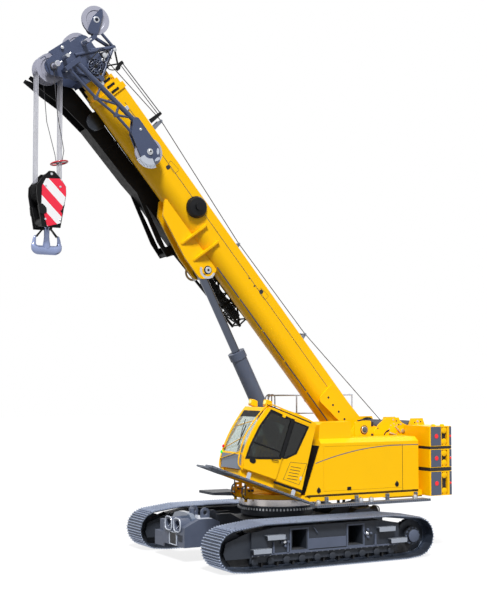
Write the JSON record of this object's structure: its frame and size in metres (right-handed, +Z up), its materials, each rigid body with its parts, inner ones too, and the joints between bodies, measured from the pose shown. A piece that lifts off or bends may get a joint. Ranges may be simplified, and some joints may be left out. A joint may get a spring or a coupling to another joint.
{
  "type": "crawler crane",
  "caption": "Telescopic boom crawler crane with extending tracks, slewing upper, tilting cab, stacked counterweight, stowed lattice jib, folded nose and a double hook.",
  "frame": {"origin": "middle of the machine's length and width in the stored pose, on the ground under the tracks", "axes": "+X forward along the tracks and the boom, +Y to the driver's side, +Z up"},
  "size_m": [10.3743, 4.956, 12.6957],
  "materials": {
    "yellow_paint": "gloss paint",
    "dark_paint": "satin dark blue-grey paint",
    "black_paint": "satin black paint",
    "grey_paint": "satin light grey paint",
    "striped_paint": "red and white warning stripes",
    "track_steel": "worn bare steel",
    "bare_steel": "machined",
    "chrome_rod": "ground and plated",
    "rope_steel": "wire rope",
    "glass": "clear",
    "seat_fabric": "woven cloth",
    "cab_plastic": "moulded",
    "sheave_plastic": "cast nylon",
    "mesh_grey": "perforated",
    "red_plastic": "moulded",
    "hook_steel": "silver blue paint"
  },
  "bodies": {
    "car_body": {"car_body": "dark_paint", "slewing_ring": "bare_steel", "front_weight": "dark_paint", "rear_weight": "dark_paint"},
    "left_crawler": {"left_track": "track_steel", "left_side_frame": "dark_paint", "left_rollers": "dark_paint", "left_idler": "dark_paint", "left_sprocket": "dark_paint"},
    "right_crawler": {"right_track": "track_steel", "right_side_frame": "dark_paint", "right_rollers": "dark_paint", "right_idler": "dark_paint", "right_sprocket": "dark_paint"},
    "upper": {"turntable": "yellow_paint", "turntable_ring": "bare_steel", "left_hood": "yellow_paint", "right_hood": "yellow_paint", "engine": "black_paint", "hydraulic_tank": "yellow_paint", "main_winch": "black_paint", "auxiliary_winch": "black_paint", "lower_counterweight": "yellow_paint", "middle_counterweight": "yellow_paint", "upper_counterweight": "yellow_paint", "walkways": "mesh_grey", "guard_rails": "black_paint"},
    "left_door": {"left_service_door": "yellow_paint"},
    "right_door": {"right_service_door": "yellow_paint"},
    "cab": {"cab_shell": "yellow_paint", "cab_windows": "glass", "cab_base": "yellow_paint", "cab_walkway": "dark_paint", "cab_seat": "seat_fabric", "cab_console": "cab_plastic"},
    "cab_door": {"cab_door": "yellow_paint", "cab_door_glass": "glass"},
    "boom_base": {"boom_base_section": "yellow_paint", "boom_foot": "yellow_paint", "rope_guides": "bare_steel", "luff_bracket": "yellow_paint", "cable_reel": "cab_plastic", "stowed_jib": "black_paint"},
    "section_2": {"boom_section_2": "yellow_paint"},
    "section_3": {"boom_section_3": "yellow_paint"},
    "section_4": {"boom_section_4": "yellow_paint"},
    "section_5": {"boom_section_5": "yellow_paint", "boom_head": "dark_paint", "head_sheaves": "sheave_plastic", "folded_nose": "dark_paint"},
    "rooster": {"rooster_sheave": "sheave_plastic"},
    "nose": {"nose_sheave": "sheave_plastic"},
    "hook": {"hoist_falls": "rope_steel", "hook_block": "black_paint", "block_covers": "striped_paint", "ramshorn_hook": "hook_steel", "limit_weight": "red_plastic"},
    "rod": {"luff_rod": "chrome_rod"},
    "barrel": {"luff_barrel": "dark_paint"}
  },
  "joints": [
    {"name": "left_crawler_slide", "type": "slide", "parent": "car_body", "child": "left_crawler", "axis": [0, 1, 0], "range_m": [-0.728, 0]},
    {"name": "right_crawler_slide", "type": "slide", "parent": "car_body", "child": "right_crawler", "axis": [0, -1, 0], "range_m": [-0.728, 0]},
    {"name": "slew", "type": "hinge", "parent": "car_body", "child": "upper", "pos_m": [-1.125, 0, 1.19], "axis": [0, 0, 1], "continuous": true},
    {"name": "left_door_hinge", "type": "hinge", "parent": "upper", "child": "left_door", "pos_m": [-2.685, 1.45, 2.59], "axis": [1, 0, 0], "range_deg": [0, 85]},
    {"name": "right_door_hinge", "type": "hinge", "parent": "upper", "child": "right_door", "pos_m": [-2.685, -1.45, 2.59], "axis": [-1, 0, 0], "range_deg": [0, 85]},
    {"name": "cab_tilt", "type": "hinge", "parent": "upper", "child": "cab", "pos_m": [-0.975, 0.92, 1.43], "axis": [0, -1, 0], "range_deg": [-20, 0]},
    {"name": "cab_door_slide", "type": "slide", "parent": "cab", "child": "cab_door", "axis": [-0.9397, 0, -0.342], "range_m": [0, 0.74]},
    {"name": "boom_luff", "type": "hinge", "parent": "upper", "child": "boom_base", "pos_m": [-3.267, 0, 2.932], "axis": [0, -1, 0], "range_deg": [-52, 32]},
    {"name": "telescope_2", "type": "slide", "parent": "boom_base", "child": "section_2", "axis": [0.6428, 0, 0.766], "range_m": [0, 8.5]},
    {"name": "telescope_3", "type": "slide", "parent": "section_2", "child": "section_3", "axis": [0.6428, 0, 0.766], "range_m": [0, 8.5]},
    {"name": "telescope_4", "type": "slide", "parent": "section_3", "child": "section_4", "axis": [0.6428, 0, 0.766], "range_m": [0, 8.5]},
    {"name": "telescope_5", "type": "slide", "parent": "section_4", "child": "section_5", "axis": [0.6428, 0, 0.766], "range_m": [0, 8.5]},
    {"name": "rooster_spin", "type": "hinge", "parent": "section_5", "child": "rooster", "pos_m": [3.7725, 0.2, 12.3637], "axis": [0, 1, 0], "continuous": true},
    {"name": "nose_spin", "type": "hinge", "parent": "section_5", "child": "nose", "pos_m": [2.6151, 0.61, 9.3664], "axis": [0, 1, 0], "continuous": true},
    {"name": "hook_swing", "type": "hinge", "parent": "section_5", "child": "hook", "pos_m": [4.8093, 0, 11.1413], "axis": [0, -1, 0], "range_deg": [-32, 52]},
    {"name": "rod_pivot", "type": "hinge", "parent": "boom_base", "child": "rod", "pos_m": [0.98401, 0, 6.75358], "axis": [0, -1, 0], "range_deg": [-4.69, 2.89]},
    {"name": "cylinder_slide", "type": "slide", "parent": "rod", "child": "barrel", "axis": [-0.4542, 0, -0.8909], "range_m": [-1.665, 1.025]}
  ],
  "couplings": [
    {"joint": "telescope_3", "follows": "telescope_2", "ratio": 1},
    {"joint": "telescope_4", "follows": "telescope_2", "ratio": 1},
    {"joint": "telescope_5", "follows": "telescope_2", "ratio": 1},
    {"joint": "hook_swing", "follows": "boom_luff", "ratio": -1},
    {"joint": "rod_pivot", "follows": "boom_luff", "ratio": 0.09},
    {"joint": "cylinder_slide", "follows": "boom_luff", "m_per_rad": 1.8335}
  ]
}
